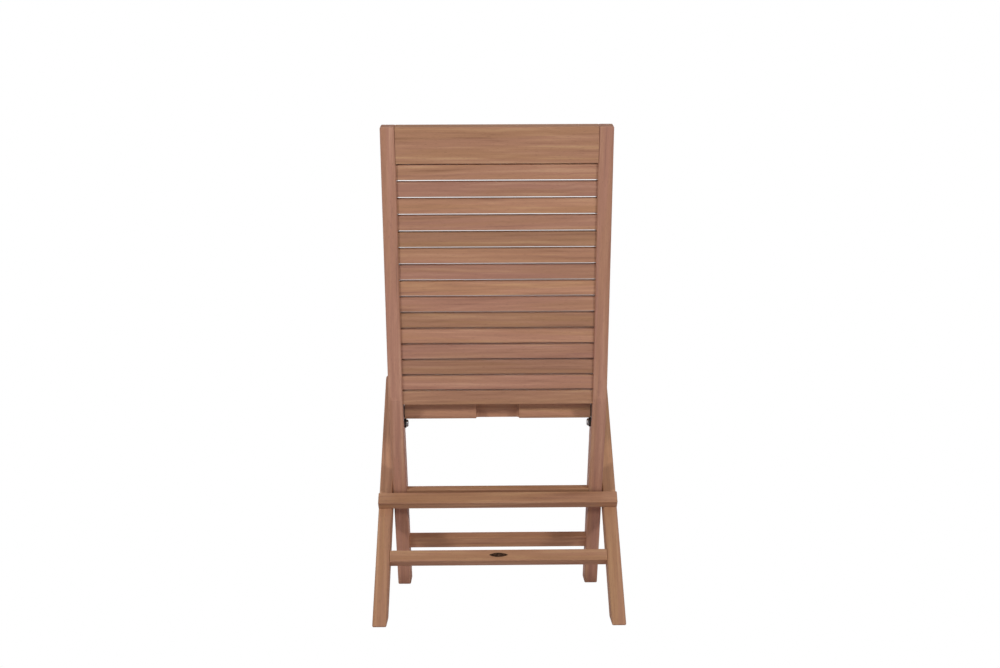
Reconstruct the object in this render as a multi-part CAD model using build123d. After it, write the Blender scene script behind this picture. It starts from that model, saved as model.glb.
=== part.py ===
from build123d import *
from math import atan2, cos, degrees, hypot, radians, sin, tan
import os

# Folding garden chair in teak: a long frame (back and front legs), a rear leg frame and a seat.
# Millimetres. The chair faces -Y, +Z is up, and X = 0 is its plane of symmetry.
# The origin is on the floor, under the middle of the open chair.

os.makedirs("parts", exist_ok=True)

# ---- driving dimensions: the side view ----
LEAN_BACK = 15.1            # lean of the back, degrees from the vertical
LEAN_FRONT = 27.6           # lean of the front legs
LEAN_REAR = 44.2            # lean of the rear legs, the other way
PIVOT_Y, PIVOT_Z = -29.5, 214.0      # main pivot, where the two leg frames cross
BEND_UP = 261.8             # from the main pivot up the front leg to the bend
BACK_UP = 548.5             # from the bend up to the top of the back
REAR_UP = 319.0             # from the main pivot up to the top of the rear leg
STILE_DEEP = 50.0           # depth of the long frame's legs in the side view
REAR_DEEP = 44.0            # depth of the rear legs

# ---- driving dimensions: across the chair ----
STILE_IN, STILE_OUT = 191.5, 219.5   # inner and outer face of a stile
REAR_IN, REAR_OUT = 222.0, 250.0     # inner and outer face of a rear leg
SEAT_HALF = 190.0                    # half the width of the seat

# ---- back ----
SLATS = 15
SLAT_GAP = 4.0
SLATS_FROM, SLATS_TO = -13.9, 479.7  # along the back, measured up from the bend
SLAT_THICK = 14.0
SLAT_RECESS = 4.5                    # slats sit this far in from the stile's rear face
TENON = 12.0                         # how far a tenon enters its leg

# ---- seat ----
SEAT_SLOPE = 2.5                     # the seat falls to the rear by this angle
PIN_RECESS, PIN_DOWN = 43.0, 44.0    # slide pin: from the stile's rear plane, and below the bend
SEAT_PIVOT_Y, SEAT_PIVOT_Z = -209.0, 397.0
SEAT_TOP, SEAT_UNDER = 16.0, -15.5   # above and below the slide pin, at the rear
SEAT_SLAT_THICK = 13.0
SEAT_SLATS = 8
SEAT_LONG = 327.0                    # from the slide pin to the front edge
NOTCH_WIDE, NOTCH_DEEP = 88.0, 20.0  # hand-hold in the rear rail

# ---- folding ----
FOLD = 62.0                          # travel of the rear legs, degrees
PIN_RECESS_FOLDED = 44.0             # the slide pin again, when the chair is folded
PIN_R, SLOT_R, GROOVE_R = 3.0, 3.5, 4.5
PLATE_THICK = 3.0
GROOVE_DEEP = 7.5                    # depth of the groove behind the slide plate

# ---- hardware ----
BOLT_R, HEAD_R = 4.0, 8.0
ROD_R, SPACER_R = 5.0, 8.0
RUN = 0.08                           # running clearance on the radius
EASE, LEG_EASE = 1.5, 3.0            # eased edges of the timber
TOP_ROUND = 24.0                     # front corner at the top of a stile

PIVOT = Pos(0, PIVOT_Y, PIVOT_Z)
FRONT_LEG = PIVOT * Rot(X=-LEAN_FRONT)
REAR_LEG = PIVOT * Rot(X=LEAN_REAR)
BACK = FRONT_LEG * Pos(0, 0, BEND_UP) * Rot(X=LEAN_FRONT - LEAN_BACK)
SLIDE_PIN = BACK * Pos(0, STILE_DEEP / 2 - PIN_RECESS, -PIN_DOWN)
SEAT = Pos(SLIDE_PIN.position) * Rot(X=-SEAT_SLOPE)
SEAT_PIVOT = Pos(0, SEAT_PIVOT_Y, SEAT_PIVOT_Z)
SEAT_PIVOT_LOCAL = SEAT.inverse() * SEAT_PIVOT
LEFT, RIGHT = 1, -1


def save(shape, node):
    export_step(shape, f"parts/{node}.step")


def group(solids, node):
    save(Compound(children=list(solids)), node)


def side_view(points, x0, x1):
    """A plate between x0 and x1 whose outline in the side view is the (y, z) points."""
    face = Plane.YZ * make_face(Polyline(*points, close=True))
    return Pos(X=x0) * extrude(face, amount=x1 - x0)


def bar(x0, x1, y0, y1, z0, z1, ease=EASE):
    """A box given by its faces, with its four edges along X eased."""
    box = Pos((x0 + x1) / 2, (y0 + y1) / 2, (z0 + z1) / 2) * Box(x1 - x0, y1 - y0, z1 - z0)
    return fillet(box.edges().filter_by(Axis.X), ease) if ease else box


def rod(radius, x0, x1):
    """A round bar along X, centred on its frame's X axis."""
    return Pos(X=(x0 + x1) / 2) * Rot(Y=90) * Cylinder(radius, x1 - x0)


def mirrored(shape, side):
    return shape if side == LEFT else mirror(shape, about=Plane.YZ)


def yz(frame, y, z):
    """The chair's (y, z) of a point given in a frame."""
    place = (frame * Pos(0, y, z)).position
    return place.Y, place.Z


def at_floor(lean, offset):
    """Where a line parallel to a leg, offset to its rear, meets the floor."""
    return PIVOT_Y - PIVOT_Z * tan(radians(lean)) + offset / cos(radians(lean))


# ---- slide path: the pin's route on the stile while the chair folds ----

def fold_ratio():
    """Degrees that the seat turns on the rear legs for one degree of the main fold."""
    reach = hypot(SEAT_PIVOT_Y - PIVOT_Y, SEAT_PIVOT_Z - PIVOT_Z)
    link_y, link_z = SLIDE_PIN.position.Y - SEAT_PIVOT_Y, SLIDE_PIN.position.Z - SEAT_PIVOT_Z
    lean = degrees(atan2(SEAT_PIVOT_Y - PIVOT_Y, SEAT_PIVOT_Z - PIVOT_Z)) + FOLD
    y = PIVOT_Y + reach * sin(radians(lean))
    z = PIVOT_Z + reach * cos(radians(lean))
    forward = -(BACK.inverse() * Pos(0, y, z)).position.Y
    short = forward - (PIN_RECESS_FOLDED - STILE_DEEP / 2)
    turn = degrees(atan2(link_y, link_z)) - LEAN_BACK
    turn -= degrees(atan2(short, (hypot(link_y, link_z) ** 2 - short ** 2) ** 0.5))
    return (turn + FOLD) / FOLD


RATIO = round(fold_ratio(), 3)


def seat_moved(fold):
    """The seat's frame when the rear legs have folded by the given degrees."""
    legs = PIVOT * Rot(X=-fold) * PIVOT.inverse()
    return legs * SEAT_PIVOT * Rot(X=RATIO * fold) * SEAT_PIVOT.inverse() * SEAT


def slide_points(steps=12):
    """Points of the slide pin's route, from open to folded, in the chair's (y, z)."""
    return [yz(seat_moved(FOLD * i / steps), 0, 0) for i in range(steps + 1)]


def slot(radius, x0, x1):
    """A slot along the slide pin's route: two offset curves closed by round ends."""
    route = slide_points()
    sides, tips = ([], []), []
    for i, (y, z) in enumerate(route):
        (y0, z0), (y1, z1) = route[max(i - 1, 0)], route[min(i + 1, len(route) - 1)]
        long = hypot(y1 - y0, z1 - z0) / radius
        along_y, along_z = (y1 - y0) / long, (z1 - z0) / long
        sides[0].append((y + along_z, z - along_y))
        sides[1].append((y - along_z, z + along_y))
        tips.append((y + along_y, z + along_z) if i else (y - along_y, z - along_z))
    face = make_face([Spline(*sides[0]), ThreePointArc(sides[0][-1], tips[-1], sides[1][-1]),
                      Spline(*reversed(sides[1])), ThreePointArc(sides[1][0], tips[0], sides[0][0])])
    return Pos(X=x0) * extrude(Plane.YZ * face, amount=x1 - x0)


# ---- long frame ----

def tenon(frame, y0, y1, z0, z1):
    """The tenon that enters the left leg, as a block that also cuts its mortise."""
    return frame * bar(STILE_IN, STILE_IN + TENON, y0, y1, z0, z1, 0)


def slat_span(i):
    pitch = (SLATS_TO - SLATS_FROM) / SLATS
    start = SLATS_FROM + i * pitch
    return start, start + pitch - SLAT_GAP


SLAT_REAR = STILE_DEEP / 2 - SLAT_RECESS
SLAT_FRONT = SLAT_REAR - SLAT_THICK
TOP_RAIL_REAR = STILE_DEEP / 2 - 0.3
TOP_RAIL_FRONT = TOP_RAIL_REAR - 30
STRETCHER_TALL = 28.0
MID_UP, MID_FRONT, MID_REAR = 7.0, 10.0, 24.0      # up from the main pivot, and across the leg
LOW_UP, LOW_FRONT, LOW_REAR = -133.0, -4.0, 14.0


def cross_members():
    """Frame, y and z limits of everything that is tenoned into the stiles."""
    members = [(BACK, SLAT_FRONT + 1.5, SLAT_REAR - 1.5, z0 + 4, z1 - 4)
               for z0, z1 in map(slat_span, range(SLATS))]
    members.append((BACK, TOP_RAIL_FRONT + 10, TOP_RAIL_REAR - 8, SLATS_TO + 12, BACK_UP - 14))
    members.append((FRONT_LEG, MID_FRONT + 3, MID_REAR - 3, MID_UP + 5, MID_UP + STRETCHER_TALL - 5))
    members.append((FRONT_LEG, LOW_FRONT + 4, LOW_REAR - 4, LOW_UP + 5, LOW_UP + STRETCHER_TALL - 5))
    return members


def stile():
    """Left stile: the back's upright and the front leg in one bent piece."""
    half = STILE_DEEP / 2
    bend = half * tan(radians(LEAN_FRONT - LEAN_BACK) / 2)
    outline = [(at_floor(LEAN_FRONT, -half), 0), (at_floor(LEAN_FRONT, half), 0),
               yz(BACK, half, -bend), yz(BACK, half, BACK_UP), yz(BACK, -half, BACK_UP),
               yz(BACK, -half, bend)]
    piece = side_view(outline, STILE_IN, STILE_OUT)
    top_front = piece.edges().filter_by(Axis.X).sort_by(lambda e: e.center().Z)[-1]
    piece = fillet(top_front, TOP_ROUND)
    piece = fillet(piece.edges(), LEG_EASE)
    piece -= PIVOT * rod(BOLT_R, STILE_IN, STILE_OUT)
    for frame, y0, y1, z0, z1 in cross_members():
        piece -= tenon(frame, y0, y1, z0, z1)
    piece -= slide_plate_blank()
    piece -= slot(GROOVE_R, STILE_IN, STILE_IN + PLATE_THICK + GROOVE_DEEP)
    for place in plate_screw_places():
        piece -= place * rod(1.5, STILE_IN, STILE_IN + 16)
    piece -= STOP_PLACE * rod(BOLT_R, STILE_IN, STILE_IN + 18)
    return piece


def tenoned(frame, y0, y1, z0, z1, inner, ease=EASE):
    """A member between the stiles with a tenon at each end."""
    piece = frame * bar(-STILE_IN, STILE_IN, y0, y1, z0, z1, ease)
    left = tenon(frame, *inner)
    return piece + left + mirrored(left, RIGHT)


# ---- slide plates and seat stops ----

PLATE_FRONT, PLATE_REAR = -STILE_DEEP / 2 + 0.6, 4.0
PLATE_LOW, PLATE_HIGH = -PIN_DOWN - 16, 294.0
STOP_R, BUSH_THICK = 9.5, 4.0
STOP_PLACE = Pos(0, SLIDE_PIN.position.Y - 5, SLIDE_PIN.position.Z + SEAT_UNDER - STOP_R - 0.1)


def slide_plate_blank():
    """The let-in plate's outline, which is also its recess in the stile."""
    return BACK * bar(STILE_IN, STILE_IN + PLATE_THICK, PLATE_FRONT, PLATE_REAR,
                      PLATE_LOW, PLATE_HIGH, 3)


def plate_screw_places():
    return [BACK * Pos(0, y, z) for y, z in ((-17, PLATE_LOW + 5), (0, PLATE_LOW + 8),
                                             (0, PLATE_HIGH - 6), (-18, PLATE_HIGH - 6))]


def slide_plate():
    plate = slide_plate_blank() - slot(SLOT_R, STILE_IN, STILE_IN + PLATE_THICK)
    for place in plate_screw_places():
        plate -= place * screw(0)
    return plate


def screw(run=0.0):
    """Countersunk screw along X, with its head flush with the slide plate."""
    head = Pos(X=STILE_IN + 1) * Rot(Y=90) * Cone(3 + run, 1.5 + run, 2)
    return head + rod(1.5 + run, STILE_IN + 2, STILE_IN + 16)


def stop_stud():
    """Stud through the bush, with a domed head towards the middle of the chair."""
    head = rod(7.5, STILE_IN - 8.5, STILE_IN - BUSH_THICK)
    head = fillet(head.edges().sort_by(Axis.X)[0], 3)
    return STOP_PLACE * (head + rod(BOLT_R, STILE_IN - BUSH_THICK, STILE_IN + 18))


def stop_bush():
    return STOP_PLACE * (rod(STOP_R, STILE_IN - BUSH_THICK, STILE_IN) - rod(BOLT_R, 0, STILE_IN))


# ---- rear leg frame ----

STOP_BAR_TOP, STOP_BAR_TALL, STOP_BAR_THICK = -19.5, 26.5, 21.0
LOW_RAIL_TOP, LOW_RAIL_TALL, LOW_RAIL_THICK = -145.3, 25.7, 20.0


def rear_leg():
    """Left rear leg, cut level at the foot and round at the top."""
    half = REAR_DEEP / 2
    top = REAR_UP - half
    outline = [(at_floor(-LEAN_REAR, -half), 0), (at_floor(-LEAN_REAR, half), 0),
               yz(REAR_LEG, half, top), yz(REAR_LEG, -half, top)]
    piece = side_view(outline, REAR_IN, REAR_OUT)
    piece += REAR_LEG * Pos(Z=top) * rod(half, REAR_IN, REAR_OUT)
    piece = fillet(piece.edges(), LEG_EASE)
    piece -= PIVOT * (rod(BOLT_R + RUN, REAR_IN, REAR_OUT) + rod(HEAD_R + 0.4, REAR_OUT - 5.4, REAR_OUT))
    piece -= SEAT_PIVOT * (rod(ROD_R, REAR_IN, REAR_OUT) + rod(HEAD_R + 0.4, REAR_OUT - 6, REAR_OUT))
    piece -= REAR_LEG * low_rail_tenon()
    for place in dowel_places():
        piece -= place * dowel()
    return piece


def low_rail_tenon():
    rear = REAR_DEEP / 2
    return bar(REAR_IN, REAR_IN + TENON, rear - LOW_RAIL_THICK + 4, rear - 4,
               LOW_RAIL_TOP - LOW_RAIL_TALL + 4, LOW_RAIL_TOP - 4, 0)


def low_rail():
    rear = REAR_DEEP / 2
    piece = bar(-REAR_IN, REAR_IN, rear - LOW_RAIL_THICK, rear, LOW_RAIL_TOP - LOW_RAIL_TALL, LOW_RAIL_TOP)
    return REAR_LEG * (piece + low_rail_tenon() + mirrored(low_rail_tenon(), RIGHT))


def dowel_places():
    middle = (REAR_IN + REAR_OUT) / 2
    return [REAR_LEG * Pos(middle, REAR_DEEP / 2, STOP_BAR_TOP - z) for z in (7, 20)]


def dowel():
    """Hidden dowel between the stop bar and a rear leg."""
    return Rot(X=90) * Cylinder(3, 28)


def stop_bar():
    rear = REAR_DEEP / 2
    piece = REAR_LEG * bar(-REAR_OUT, REAR_OUT, rear, rear + STOP_BAR_THICK,
                           STOP_BAR_TOP - STOP_BAR_TALL, STOP_BAR_TOP, 0)
    piece = fillet(piece.edges(), EASE)
    for place in dowel_places():
        piece -= place * dowel()
        piece -= mirrored(place * dowel(), RIGHT)
    return piece


def name_plate():
    """Blank lens-shaped plate on the rear face of the lower rail."""
    half_long, half_tall = 19.0, 4.6
    lens = make_face([ThreePointArc((-half_long, 0), (0, half_tall), (half_long, 0)),
                      ThreePointArc((half_long, 0), (0, -half_tall), (-half_long, 0))])
    plate = extrude(Plane.XZ * lens, amount=-1.2)
    return REAR_LEG * Pos(0, REAR_DEEP / 2, LOW_RAIL_TOP - LOW_RAIL_TALL / 2) * plate


def pivot_bolt():
    return PIVOT * (rod(BOLT_R, STILE_IN - 9, REAR_OUT - 5.2) + rod(HEAD_R, REAR_OUT - 5.2, REAR_OUT - 0.6))


def hexagon(radius, x0, x1):
    return Pos(X=x0) * extrude(Plane.YZ * RegularPolygon(radius, 6), amount=x1 - x0)


def pivot_nut():
    return PIVOT * (hexagon(7.5, STILE_IN - 8, STILE_IN - 1.6) - rod(BOLT_R, STILE_IN - 9, STILE_IN))


def nut_washer():
    return PIVOT * (rod(8.5, STILE_IN - 1.6, STILE_IN) - rod(BOLT_R, STILE_IN - 2, STILE_IN))


def pivot_washer():
    return PIVOT * (rod(10, STILE_OUT, REAR_IN - 0.3) - rod(BOLT_R, STILE_OUT, REAR_IN))


def pivot_rod():
    return SEAT_PIVOT * rod(ROD_R, -(REAR_OUT - 2.6), REAR_OUT - 2.6)


def rod_cap():
    cap = rod(HEAD_R, REAR_OUT - 6, REAR_OUT - 0.6) - rod(ROD_R, REAR_OUT - 6, REAR_OUT - 2.6)
    return SEAT_PIVOT * cap


def rod_spacer():
    return SEAT_PIVOT * (rod(SPACER_R, SEAT_HALF + 0.4, REAR_IN) - rod(ROD_R, SEAT_HALF, REAR_IN))


# ---- seat ----

RAIL_TOP = SEAT_TOP - SEAT_SLAT_THICK
REAR_RAIL_FRONT, REAR_RAIL_REAR = -22.0, 6.0
SIDE_RAIL_IN = 164.5
FRONT_SLAT = 36.0


def seat_rear_rail():
    """Rear rail with a hand-hold notch and a rounded lower rear edge that clears the slats."""
    box = bar(-SEAT_HALF, SEAT_HALF, REAR_RAIL_FRONT, REAR_RAIL_REAR, SEAT_UNDER, SEAT_TOP, 0)
    edges = box.edges().filter_by(Axis.X)
    lower_rear = edges.sort_by(lambda e: e.center().Y - e.center().Z)[-1]
    box = fillet(lower_rear, 7)
    upper_rear = box.edges().filter_by(Axis.X).sort_by(lambda e: e.center().Y + e.center().Z)[-1]
    box = fillet(upper_rear, EASE)
    notch = bar(-NOTCH_WIDE / 2, NOTCH_WIDE / 2, REAR_RAIL_REAR - NOTCH_DEEP, 30,
                SEAT_UNDER - 10, SEAT_TOP + 10, 0)
    notch = fillet(notch.edges().filter_by(Axis.Z).group_by(Axis.Y)[0], 6)
    return SEAT * (box - notch - rod(PIN_R, SEAT_HALF - 25, SEAT_HALF) - rod(PIN_R, -SEAT_HALF, 25 - SEAT_HALF))


def seat_side_rail():
    """Left side rail, deeper towards the seat pivot, with the rod's hole."""
    front = -SEAT_LONG + 9
    low = SEAT_PIVOT_LOCAL.position.Z - 12
    outline = [(REAR_RAIL_FRONT, RAIL_TOP), (REAR_RAIL_FRONT, SEAT_UNDER), (-60, SEAT_UNDER),
               (-245, low), (front + 14, low), (front, low + 14), (front, RAIL_TOP)]
    piece = side_view(outline, SIDE_RAIL_IN, SEAT_HALF)
    piece = fillet(piece.edges().filter_by(Axis.X), EASE)
    return SEAT * piece - SEAT_PIVOT * rod(ROD_R + RUN, SIDE_RAIL_IN, SEAT_HALF)


def seat_front_rail():
    front = -SEAT_LONG + 9
    return SEAT * bar(-SIDE_RAIL_IN, SIDE_RAIL_IN, front, front + 20, -22, RAIL_TOP)


def seat_centre_rail():
    front = -SEAT_LONG + 29
    return SEAT * bar(-12, 12, front, REAR_RAIL_FRONT, RAIL_TOP - 18, RAIL_TOP, 0)


def seat_slat(i):
    """Seat slat i, counted from the rear; the last, wider one is the rounded front edge."""
    room = SEAT_LONG - FRONT_SLAT + REAR_RAIL_FRONT
    pitch = (room - SLAT_GAP) / SEAT_SLATS
    if i == SEAT_SLATS:
        piece = bar(-SEAT_HALF, SEAT_HALF, -SEAT_LONG, -SEAT_LONG + FRONT_SLAT, RAIL_TOP, SEAT_TOP, 4)
    else:
        rear = REAR_RAIL_FRONT - SLAT_GAP - i * pitch
        piece = bar(-SEAT_HALF, SEAT_HALF, rear - pitch + SLAT_GAP, rear, RAIL_TOP, SEAT_TOP)
    return SEAT * piece


def slide_pin():
    return SLIDE_PIN * rod(PIN_R, SEAT_HALF - 25, STILE_IN + PLATE_THICK + GROOVE_DEEP - 1)


def pin_washer():
    """Wide nylon washer that fills the gap between the seat and the slide plate."""
    return SLIDE_PIN * (rod(12, SEAT_HALF + 0.1, STILE_IN - 0.2) - rod(PIN_R, SEAT_HALF, STILE_IN))


def pair(shape):
    return [shape, mirrored(shape, RIGHT)]


def main():
    for side, name in ((LEFT, "left"), (RIGHT, "right")):
        save(mirrored(stile(), side), f"stile_{name}")
        save(mirrored(slide_plate(), side), f"slide_plate_{name}")
        save(mirrored(rear_leg(), side), f"rear_leg_{name}")
        save(mirrored(seat_side_rail(), side), f"seat_side_rail_{name}")
    members = cross_members()
    for i in range(SLATS):
        z0, z1 = slat_span(i)
        save(tenoned(BACK, SLAT_FRONT, SLAT_REAR, z0, z1, members[i][1:]), f"back_slat_{SLATS - i:02d}")
    top, mid, low = (member[1:] for member in members[SLATS:])
    save(tenoned(BACK, TOP_RAIL_FRONT, TOP_RAIL_REAR, SLATS_TO - 1.2, BACK_UP - 0.3, top), "top_rail")
    save(tenoned(FRONT_LEG, MID_FRONT, MID_REAR, MID_UP, MID_UP + STRETCHER_TALL, mid), "mid_stretcher")
    save(tenoned(FRONT_LEG, LOW_FRONT, LOW_REAR, LOW_UP, LOW_UP + STRETCHER_TALL, low), "front_stretcher")
    group(pair(stop_stud()), "seat_stop_studs")
    group(pair(stop_bush()), "seat_stop_bushes")
    screws = [place * screw() for place in plate_screw_places()]
    group([s for one in screws for s in pair(one)], "slide_plate_screws")
    save(stop_bar(), "stop_bar")
    save(low_rail(), "lower_rear_rail")
    save(name_plate(), "name_plate")
    group([s for place in dowel_places() for s in pair(place * dowel())], "stop_bar_dowels")
    group(pair(pivot_bolt()), "pivot_bolts")
    group(pair(pivot_nut()), "pivot_nuts")
    group(pair(nut_washer()), "pivot_nut_washers")
    group(pair(pivot_washer()), "pivot_spacer_washers")
    save(pivot_rod(), "seat_pivot_rod")
    group(pair(rod_cap()), "seat_rod_caps")
    group(pair(rod_spacer()), "seat_rod_spacers")
    save(seat_rear_rail(), "seat_rear_rail")
    save(seat_front_rail(), "seat_front_rail")
    save(seat_centre_rail(), "seat_centre_rail")
    for i in range(SEAT_SLATS + 1):
        save(seat_slat(i), f"seat_slat_{i + 1:02d}")
    group(pair(slide_pin()), "slide_pins")
    group(pair(pin_washer()), "slide_pin_washers")
    print("seat ratio", RATIO, "slide pin", SLIDE_PIN.position)


main()
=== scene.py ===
import math

import bpy
import numpy as np
from mathutils import Matrix, Vector

# A folding garden chair in oiled teak. Units are metres; the chair faces -Y and is seen from behind.

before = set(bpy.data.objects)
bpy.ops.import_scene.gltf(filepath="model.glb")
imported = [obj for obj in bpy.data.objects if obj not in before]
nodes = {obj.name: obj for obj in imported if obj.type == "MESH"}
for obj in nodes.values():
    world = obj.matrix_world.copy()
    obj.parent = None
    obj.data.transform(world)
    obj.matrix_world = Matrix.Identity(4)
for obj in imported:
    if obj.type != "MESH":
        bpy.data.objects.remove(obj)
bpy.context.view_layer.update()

MM = 0.001
GOLDEN = 0.618034            # spreads the pieces' tones and grain evenly

# ---- the design's angles and heights that the grain follows ----
LEAN_BACK = math.radians(15.1)
LEAN_FRONT = math.radians(27.6)
LEAN_REAR = math.radians(44.2)
SEAT_SLOPE = math.radians(2.5)
BEND_HEIGHT = 445.6 * MM

# ---- teak, from heartwood streak to pale wood ----
TEAK_STREAK = "5c372a"
TEAK_DARK = "936853"
TEAK_MID = "ad8067"
TEAK_PALE = "c2987a"
ROSY = (1.02, 0.96, 1.02)    # tints a board towards pinkish brown
TAWNY = (1.02, 1.00, 0.86)   # tints a board towards orange brown
TAWNY_WASH = (0.96, 0.98, 0.84, 1.0)     # the tawny patches within one board
RING_SPACING = 11.0 * MM
STREAK_WIDE = 2.4 * MM
STREAK_LONG = 130 * MM
BAND_WIDE = 9 * MM
BAND_LONG = 240 * MM
HUE_WIDE = 15 * MM
HUE_LONG = 400 * MM
PORE_WIDE = 0.9 * MM         # real pores are 0.3 mm wide, too fine to show
PORE_LONG = 9 * MM


# ---- small tools ----

def linear(hex_colour, tone=1.0):
    """An sRGB hex colour as linear RGBA, times a tone, which may differ for each channel."""
    srgb = np.array([int(hex_colour[i:i + 2], 16) for i in (0, 2, 4)]) / 255
    rgb = np.where(srgb <= 0.04045, srgb / 12.92, ((srgb + 0.055) / 1.055) ** 2.4)
    return (*np.clip(rgb * np.array(tone), 0, 1), 1.0)


def share(seed, step=GOLDEN):
    """An even, repeatable value from 0 to 1 for a whole number."""
    return (seed * step) % 1.0


def add(tree, kind, inputs=None, **settings):
    """Adds a node with its settings; each input is a value or a socket to link from."""
    made = tree.nodes.new(kind)
    for name, value in settings.items():
        setattr(made, name, value)
    for socket, value in (inputs or {}).items():
        if isinstance(value, bpy.types.NodeSocket):
            tree.links.new(value, made.inputs[socket])
        else:
            made.inputs[socket].default_value = value
    return made


def set_stops(ramp, stops):
    """Gives a colour ramp its stops, as (place, colour) pairs."""
    elements = ramp.color_ramp.elements
    while len(elements) < len(stops):
        elements.new(0.5)
    for element, (place, colour) in zip(elements, stops):
        element.position, element.color = place, colour


def new_material(name):
    """A material with an empty node tree and its shader."""
    material = bpy.data.materials.new(name)
    material.use_nodes = True
    tree = material.node_tree
    tree.nodes.clear()
    shader = add(tree, "ShaderNodeBsdfPrincipled")
    add(tree, "ShaderNodeOutputMaterial", {"Surface": shader.outputs["BSDF"]})
    return material, tree, shader


def multiply_add(tree, value, times, plus):
    """value times + plus."""
    return add(tree, "ShaderNodeMath", {0: value, 1: times, 2: plus}, operation="MULTIPLY_ADD").outputs[0]


def remap(tree, value, start, end, low, high):
    """A value's stretch from start to end, spread from low to high."""
    return add(tree, "ShaderNodeMapRange", {"Value": value, "From Min": start, "From Max": end,
                                            "To Min": low, "To Max": high}).outputs["Result"]


def mix(tree, factor, first, second, blend="MIX"):
    """Two colours mixed by a factor."""
    return add(tree, "ShaderNodeMix", {"Factor": factor, "A": first, "B": second},
               data_type="RGBA", blend_type=blend).outputs["Result"]


# ---- grain directions ----

def straightened(tree, y, z, slope, bend_slope):
    """y less the leg's own lean, so that the grain follows the leg.

    y - slope z - bend_slope max(z - BEND_HEIGHT, 0)
    """
    over = add(tree, "ShaderNodeMath", {0: z, 1: BEND_HEIGHT}, operation="SUBTRACT")
    over = add(tree, "ShaderNodeMath", {0: over.outputs[0], 1: 0.0}, operation="MAXIMUM")
    return multiply_add(tree, over.outputs[0], -bend_slope, multiply_add(tree, z, -slope, y))


def grain_vector(tree, vector, grain):
    """A place or a direction with its part along the grain last."""
    x, y, z = add(tree, "ShaderNodeSeparateXYZ", {"Vector": vector}).outputs
    if grain == "across":
        order = (y, z, x)
    elif grain == "fore_and_aft":
        order = (x, z, y)
    elif grain == "stile":
        bend_slope = math.tan(LEAN_BACK) - math.tan(LEAN_FRONT)
        order = (x, straightened(tree, y, z, math.tan(LEAN_FRONT), bend_slope), z)
    else:
        order = (x, straightened(tree, y, z, -math.tan(LEAN_REAR), 0.0), z)
    return add(tree, "ShaderNodeCombineXYZ", dict(zip("XYZ", order))).outputs[0]


GRAIN_AXES = {
    "across": (1, 0, 0),
    "fore_and_aft": (0, -math.cos(SEAT_SLOPE), math.sin(SEAT_SLOPE)),
    "stile": (0, math.sin(LEAN_BACK), math.cos(LEAN_BACK)),
    "rear_leg": (0, -math.sin(LEAN_REAR), math.cos(LEAN_REAR)),
}


# ---- materials ----

def noise_along(tree, board, wide, long, **shape):
    """Noise drawn out along the grain: its marks are about wide across the grain and long along it."""
    drawn = add(tree, "ShaderNodeMapping", {"Vector": board, "Scale": (1, 1, wide / long)}).outputs[0]
    return add(tree, "ShaderNodeTexNoise", {"Vector": drawn, "Scale": 1 / wide, **shape}).outputs["Fac"]


def end_grain(tree, grain):
    """From 0 on a face along the grain to 0.12 on a sawn end."""
    normal = add(tree, "ShaderNodeNewGeometry").outputs["Normal"]
    facing = add(tree, "ShaderNodeVectorMath", {0: normal, 1: GRAIN_AXES[grain]}, operation="DOT_PRODUCT")
    facing = add(tree, "ShaderNodeMath", {0: facing.outputs["Value"]}, operation="ABSOLUTE")
    return remap(tree, facing.outputs[0], 0.62, 0.95, 0.0, 0.12)


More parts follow.
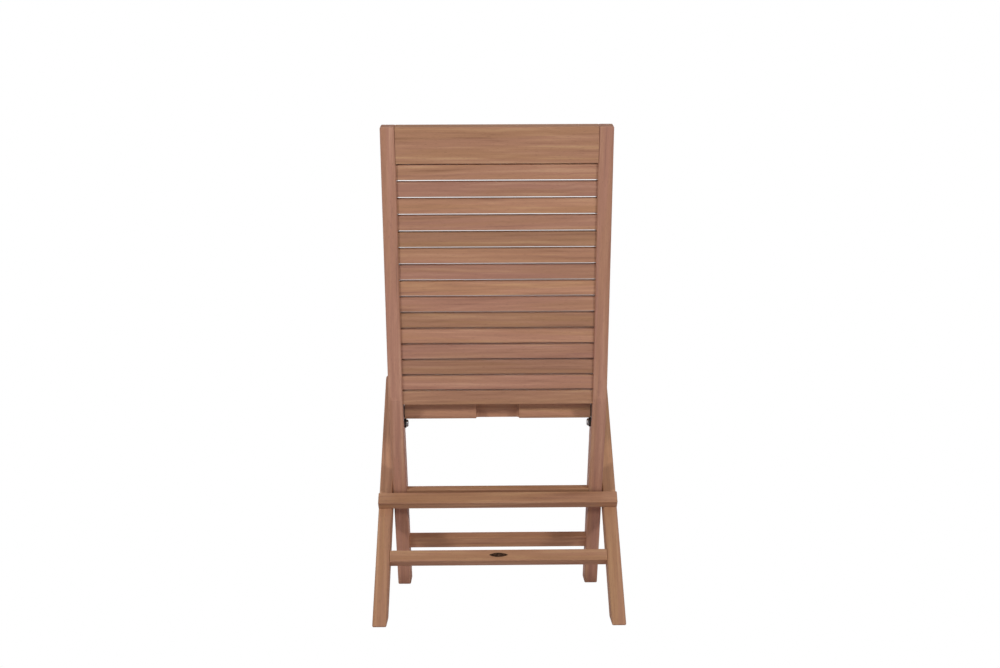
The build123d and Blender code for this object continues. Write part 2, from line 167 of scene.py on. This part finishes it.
def oiled_teak(name, grain, seed, tone):
    """Planed and oiled teak, with a soft low gloss.

    Faint growth rings, broad bands, fine streaks and open pores all run along the grain, and tawny
    patches lie over them. Each board is cut from its own place in the log, and tilted a little.
    """
    material, tree, shader = new_material(name)
    place = add(tree, "ShaderNodeTexCoord").outputs["Object"]
    along = grain_vector(tree, place, grain)
    heart = ((25 + 70 * share(seed)) * MM, (-30 - 60 * share(seed, 0.414)) * MM, share(seed, 0.732))
    tilt = (math.radians(3.0 * share(seed, 0.271) - 1.5), math.radians(3.4 * share(seed, 0.877) - 1.7), 0)
    board = add(tree, "ShaderNodeMapping", {"Vector": along, "Location": heart, "Rotation": tilt}).outputs[0]

    rings = add(tree, "ShaderNodeTexWave",
                {"Vector": board, "Scale": 2 * math.pi / (20 * RING_SPACING), "Distortion": 6.0,
                 "Detail": 2.0, "Detail Scale": 0.35, "Detail Roughness": 0.5},
                wave_type="RINGS", rings_direction="Z")
    streaks = noise_along(tree, board, STREAK_WIDE, STREAK_LONG, Detail=3.0, Roughness=0.6)
    pores = noise_along(tree, board, PORE_WIDE, PORE_LONG, Detail=1.0, Roughness=0.5)
    bands = noise_along(tree, board, BAND_WIDE, BAND_LONG, Detail=2.0, Roughness=0.5)
    hues = noise_along(tree, board, HUE_WIDE, HUE_LONG, Detail=1.0, Distortion=0.4)

    figure = multiply_add(tree, rings.outputs["Fac"], 0.09, 0.06)
    figure = multiply_add(tree, streaks, 0.36, figure)
    figure = multiply_add(tree, bands, 0.72, figure)
    wood = add(tree, "ShaderNodeValToRGB", {"Fac": figure})
    set_stops(wood, [(0.38, linear(TEAK_DARK, tone)), (0.56, linear(TEAK_MID, tone)),
                     (0.66, linear(TEAK_MID, 1.06 * tone)), (0.86, linear(TEAK_PALE, tone))])
    streak_colour = linear(TEAK_STREAK, tone)
    pits = remap(tree, pores, 0.60, 0.74, 0.0, 0.26)
    colour = mix(tree, remap(tree, hues, 0.42, 0.6, 0.0, 0.7), wood.outputs["Color"], TAWNY_WASH, "MULTIPLY")
    colour = mix(tree, pits, colour, streak_colour)
    colour = mix(tree, end_grain(tree, grain), colour, streak_colour)

    grooves = multiply_add(tree, pits, -1.6, streaks)
    raised = add(tree, "ShaderNodeBump", {"Height": grooves, "Strength": 0.35, "Distance": 0.25 * MM})
    tree.links.new(colour, shader.inputs["Base Color"])
    tree.links.new(remap(tree, streaks, 0.0, 1.0, 0.50, 0.68), shader.inputs["Roughness"])
    tree.links.new(raised.outputs["Normal"], shader.inputs["Normal"])
    shader.inputs["IOR"].default_value = 1.48
    return material


def drawn_steel(name):
    """Stainless steel, drawn and tumbled: a soft grey gloss with fine turning lines round each piece."""
    material, tree, shader = new_material(name)
    place = add(tree, "ShaderNodeTexCoord").outputs["Object"]
    lines = add(tree, "ShaderNodeMapping", {"Vector": place, "Scale": (2200, 160, 160)})
    marks = add(tree, "ShaderNodeTexNoise", {"Vector": lines.outputs[0], "Scale": 1.0, "Detail": 2.0})
    tint = add(tree, "ShaderNodeValToRGB", {"Fac": marks.outputs["Fac"]})
    set_stops(tint, [(0.3, linear("8f8f8e")), (0.7, linear("b9b8b5"))])
    rough = remap(tree, marks.outputs["Fac"], 0.0, 1.0, 0.26, 0.46)
    tree.links.new(tint.outputs["Color"], shader.inputs["Base Color"])
    tree.links.new(rough, shader.inputs["Roughness"])
    shader.inputs["Metallic"].default_value = 1.0
    return material


def black_nylon(name):
    """Moulded black nylon: near black, with a faint mould texture."""
    material, tree, shader = new_material(name)
    place = add(tree, "ShaderNodeTexCoord").outputs["Object"]
    skin = add(tree, "ShaderNodeTexNoise", {"Vector": place, "Scale": 900.0, "Detail": 2.0})
    tint = add(tree, "ShaderNodeValToRGB", {"Fac": skin.outputs["Fac"]})
    set_stops(tint, [(0.3, linear("151515")), (0.7, linear("232322"))])
    raised = add(tree, "ShaderNodeBump",
                 {"Height": skin.outputs["Fac"], "Strength": 0.3, "Distance": 0.1 * MM})
    tree.links.new(tint.outputs["Color"], shader.inputs["Base Color"])
    tree.links.new(raised.outputs["Normal"], shader.inputs["Normal"])
    shader.inputs["Roughness"].default_value = 0.48
    return material


def aged_bronze(name):
    """Aged bronze sheet: brown metal, worn paler in patches."""
    material, tree, shader = new_material(name)
    place = add(tree, "ShaderNodeTexCoord").outputs["Object"]
    patina = add(tree, "ShaderNodeTexNoise", {"Vector": place, "Scale": 240.0, "Detail": 4.0})
    tint = add(tree, "ShaderNodeValToRGB", {"Fac": patina.outputs["Fac"]})
    set_stops(tint, [(0.35, linear("3d2c22")), (0.7, linear("6b5240"))])
    rough = remap(tree, patina.outputs["Fac"], 0.0, 1.0, 0.55, 0.35)
    tree.links.new(tint.outputs["Color"], shader.inputs["Base Color"])
    tree.links.new(rough, shader.inputs["Roughness"])
    shader.inputs["Metallic"].default_value = 0.9
    return material


def white_floor(name):
    """Matt off-white floor paint that gives a soft bounce, and shows as clean white to any camera."""
    material, tree, shader = new_material(name)
    place = add(tree, "ShaderNodeTexCoord").outputs["Object"]
    mottle = add(tree, "ShaderNodeTexNoise", {"Vector": place, "Scale": 3.0, "Detail": 2.0})
    tint = add(tree, "ShaderNodeValToRGB", {"Fac": mottle.outputs["Fac"]})
    set_stops(tint, [(0.0, linear("cdc8d0")), (1.0, linear("d4cfd7"))])
    tree.links.new(tint.outputs["Color"], shader.inputs["Base Color"])
    shader.inputs["Roughness"].default_value = 0.9
    wash = add(tree, "ShaderNodeEmission", {"Color": linear("ffffff")})
    seen = add(tree, "ShaderNodeLightPath").outputs["Is Camera Ray"]
    both = add(tree, "ShaderNodeMixShader", {0: seen, 1: shader.outputs["BSDF"], 2: wash.outputs["Emission"]})
    tree.links.new(both.outputs["Shader"], tree.nodes["Material Output"].inputs["Surface"])
    return material


# ---- which finish each piece takes ----

STEEL = drawn_steel("drawn_stainless_steel")
NYLON = black_nylon("moulded_black_nylon")
BRONZE = aged_bronze("aged_bronze_sheet")
NYLON_PIECES = ("seat_stop_bushes", "slide_pin_washers")
METAL_PIECES = ("pivot_", "slide_p", "seat_pivot_rod", "seat_rod_", "seat_stop_studs")


def grain_of(name):
    """The way the grain runs in a wooden piece."""
    if name.startswith("stile"):
        return "stile"
    if name.startswith("rear_leg"):
        return "rear_leg"
    if name.startswith(("seat_side_rail", "seat_centre_rail")):
        return "fore_and_aft"
    return "across"


def tone_of(name, seed):
    """A wooden piece's own tone: the legs and rails are even, the slats vary from board to board."""
    lightness = 1.0 + (0.26 if "slat" in name else 0.08) * (share(seed) - 0.5)
    if name.startswith("stile"):
        rosy = 0.9
    elif "slat" in name:
        rosy = share(seed, 0.414)
    else:
        rosy = 0.25
    return lightness * (rosy * np.array(ROSY) + (1 - rosy) * np.array(TAWNY))


def finish_all():
    """Gives every CAD piece its material."""
    for seed, name in enumerate(sorted(nodes), start=1):
        if name == "name_plate":
            material = BRONZE
        elif name in NYLON_PIECES:
            material = NYLON
        elif name.startswith(METAL_PIECES):
            material = STEEL
        else:
            material = oiled_teak(f"oiled_teak_{name}", grain_of(name), seed, tone_of(name, seed))
        nodes[name].data.materials.clear()
        nodes[name].data.materials.append(material)


finish_all()


# ---- studio ----

FLOOR_HALF = 9.0
KEY_AIM = (0, 0.1, 0.7)
SOFT_BOXES = {               # place, aim, width and watts
    "left_soft_box": ((2.6, 2.4, 1.42), KEY_AIM, 0.45, 51),
    "right_soft_box": ((-2.6, 2.4, 1.42), KEY_AIM, 0.45, 51),
    "front_soft_box": ((0, -2.8, 1.0), (0, 0, 0.6), 1.8, 34),
    "overhead_soft_box": ((0, 0.2, 2.9), (0, 0.1, 0.5), 0.9, 11),
}
AMBIENT_BELOW = "5a5258"
AMBIENT_ABOVE = "7e7e81"
CAMERA_PLACE = Vector((0.0238, 2.7095, 0.7692))
CAMERA_PITCH = 4.39          # degrees below the horizon
CAMERA_YAW = -0.64           # degrees off square to the back
CAMERA_ROLL = -0.29
CAMERA_LENS = 46.8           # millimetres, on a frame SENSOR_WIDE across
SENSOR_WIDE = 36.0


def lay_floor():
    """A flat square of pale floor under the chair."""
    corners = np.array([(-1, -1, 0), (1, -1, 0), (1, 1, 0), (-1, 1, 0)]) * FLOOR_HALF
    mesh = bpy.data.meshes.new("studio_floor")
    mesh.from_pydata(corners.tolist(), [], [(0, 1, 2, 3)])
    mesh.materials.append(white_floor("matt_floor_paint"))
    floor = bpy.data.objects.new("studio_floor", mesh)
    bpy.context.scene.collection.objects.link(floor)


def hang_light(name, place, aim, wide, watts):
    """A square soft box at a place, turned to face a point."""
    lamp = bpy.data.lights.new(name, "AREA")
    lamp.size, lamp.energy = wide, watts
    holder = bpy.data.objects.new(name, lamp)
    holder.location = place
    holder.rotation_euler = (Vector(aim) - Vector(place)).to_track_quat("-Z", "Y").to_euler()
    bpy.context.scene.collection.objects.link(holder)


def set_camera():
    """A level-standing camera behind the chair, tipped a little down."""
    lens = bpy.data.cameras.new("studio_camera")
    lens.lens, lens.sensor_width, lens.clip_end = CAMERA_LENS, SENSOR_WIDE, 100.0
    camera = bpy.data.objects.new("studio_camera", lens)
    turn = (Matrix.Rotation(math.radians(180 + CAMERA_YAW), 4, "Z")
            @ Matrix.Rotation(math.radians(90 - CAMERA_PITCH), 4, "X")
            @ Matrix.Rotation(math.radians(CAMERA_ROLL), 4, "Z"))
    camera.matrix_world = Matrix.Translation(CAMERA_PLACE) @ turn
    bpy.context.scene.collection.objects.link(camera)
    bpy.context.scene.camera = camera


def set_daylight():
    """A white backdrop to the camera; the chair itself takes a weaker light, dim and cool from below."""
    world = bpy.data.worlds.new("studio_daylight")
    world.use_nodes = True
    tree = world.node_tree
    sky = tree.nodes["Background"]
    direction = add(tree, "ShaderNodeTexCoord").outputs["Generated"]
    height = add(tree, "ShaderNodeSeparateXYZ", {"Vector": direction}).outputs["Z"]
    height = remap(tree, height, -1.0, 1.0, 0.0, 1.0)
    ambient = add(tree, "ShaderNodeValToRGB", {"Fac": height})
    set_stops(ambient, [(0.35, linear(AMBIENT_BELOW)), (0.75, linear(AMBIENT_ABOVE))])
    seen = add(tree, "ShaderNodeLightPath").outputs["Is Camera Ray"]
    colour = mix(tree, seen, ambient.outputs["Color"], linear("ffffff"))
    tree.links.new(colour, sky.inputs["Color"])
    bpy.context.scene.world = world


lay_floor()
set_daylight()
for box_name, settings in SOFT_BOXES.items():
    hang_light(box_name, *settings)
set_camera()
bpy.context.scene.view_settings.view_transform = "Standard"
